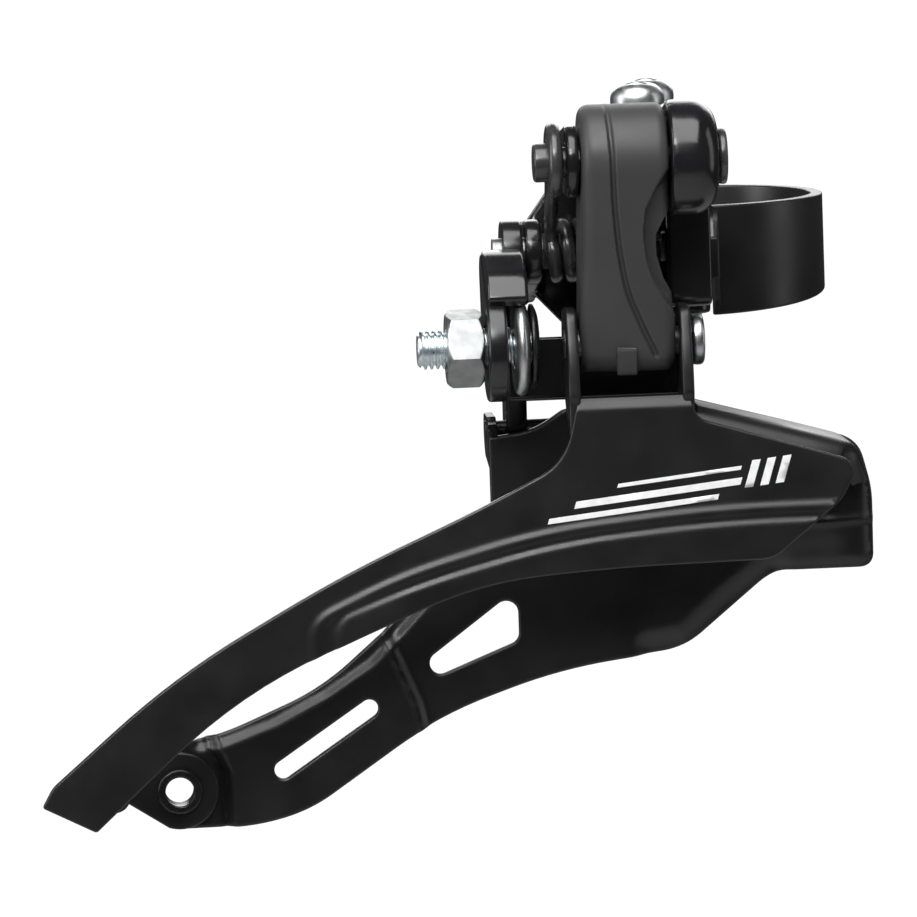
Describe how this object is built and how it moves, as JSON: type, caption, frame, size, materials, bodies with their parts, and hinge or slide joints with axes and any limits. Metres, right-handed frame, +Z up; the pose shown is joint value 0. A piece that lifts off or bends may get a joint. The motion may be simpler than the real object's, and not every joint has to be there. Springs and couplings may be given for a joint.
{
  "type": "front derailleur",
  "caption": "Clamp-on front derailleur: a hinged seat-tube clamp carries a sprung parallelogram that swings the chain cage outboard over the chainrings.",
  "frame": {"origin": "on the seat-tube axis, at mid-height of the clamp", "axes": "+X to the front of the bicycle, +Y inboard towards the frame, +Z up along the seat tube; all linkage pivots run along X"},
  "size_m": [0.1092, 0.0782, 0.0945],
  "materials": {
    "black_paint": "semi-gloss black paint on pressed steel",
    "grey_resin": "satin dark grey glass-filled resin",
    "zinc_steel": "bright zinc plating",
    "pin_steel": "turned steel",
    "black_oxide": "black oxide",
    "spring_steel": "blackened spring wire",
    "nylon": "moulded nylon"
  },
  "bodies": {
    "bracket": {"main_bracket": "black_paint", "band_hinge_pin": "pin_steel", "upper_outer_pin": "pin_steel", "upper_inner_pin": "pin_steel", "return_spring": "spring_steel", "spring_bush": "nylon"},
    "outer_link": {"outer_link": "grey_resin"},
    "inner_link": {"inner_link": "black_paint", "cable_lever": "black_paint", "cable_anchor_bolt": "zinc_steel", "cable_anchor_washer": "zinc_steel", "cable_anchor_nut": "zinc_steel", "return_spring_tail": "spring_steel"},
    "cage": {"outer_cage_plate": "black_paint", "inner_cage_plate": "black_paint", "tail_rivet": "black_oxide", "lower_outer_pin": "pin_steel", "lower_inner_pin": "black_oxide"},
    "clamp_band": {"clamp_band": "black_paint", "clamp_bolt": "black_oxide", "clamp_bolt_washer": "zinc_steel"},
    "low_limit_screw": {"low_limit_screw": "zinc_steel"},
    "high_limit_screw": {"high_limit_screw": "zinc_steel"}
  },
  "joints": [
    {"name": "outer_link_swing", "type": "hinge", "parent": "bracket", "child": "outer_link", "pos_m": [0, -0.041, 0.0147], "axis": [-1, 0, 0], "range_deg": [0, 42], "stiffness_Nm_per_rad": 0.3, "springref_deg": -68.75},
    {"name": "inner_link_swing", "type": "hinge", "parent": "bracket", "child": "inner_link", "pos_m": [0, -0.0282, 0.0024], "axis": [-1, 0, 0], "range_deg": [0, 42]},
    {"name": "cage_pivot", "type": "hinge", "parent": "outer_link", "child": "cage", "pos_m": [0, -0.0377, -0.0089], "axis": [-1, 0, 0], "range_deg": [-42, 0]},
    {"name": "band_hinge", "type": "hinge", "parent": "bracket", "child": "clamp_band", "pos_m": [-0.0009, -0.0222, 0], "axis": [0, 0, -1], "range_deg": [0, 60]},
    {"name": "low_limit_turn", "type": "hinge", "parent": "bracket", "child": "low_limit_screw", "pos_m": [-0.0058, -0.0236, 0], "axis": [0, 0, 1], "range_deg": [-675, 675]},
    {"name": "high_limit_turn", "type": "hinge", "parent": "bracket", "child": "high_limit_screw", "pos_m": [-0.0077, -0.031, 0], "axis": [0, 0, 1], "range_deg": [-675, 675]}
  ],
  "couplings": [
    {"joint": "inner_link_swing", "follows": "outer_link_swing", "ratio": 1},
    {"joint": "cage_pivot", "follows": "outer_link_swing", "ratio": -1}
  ]
}
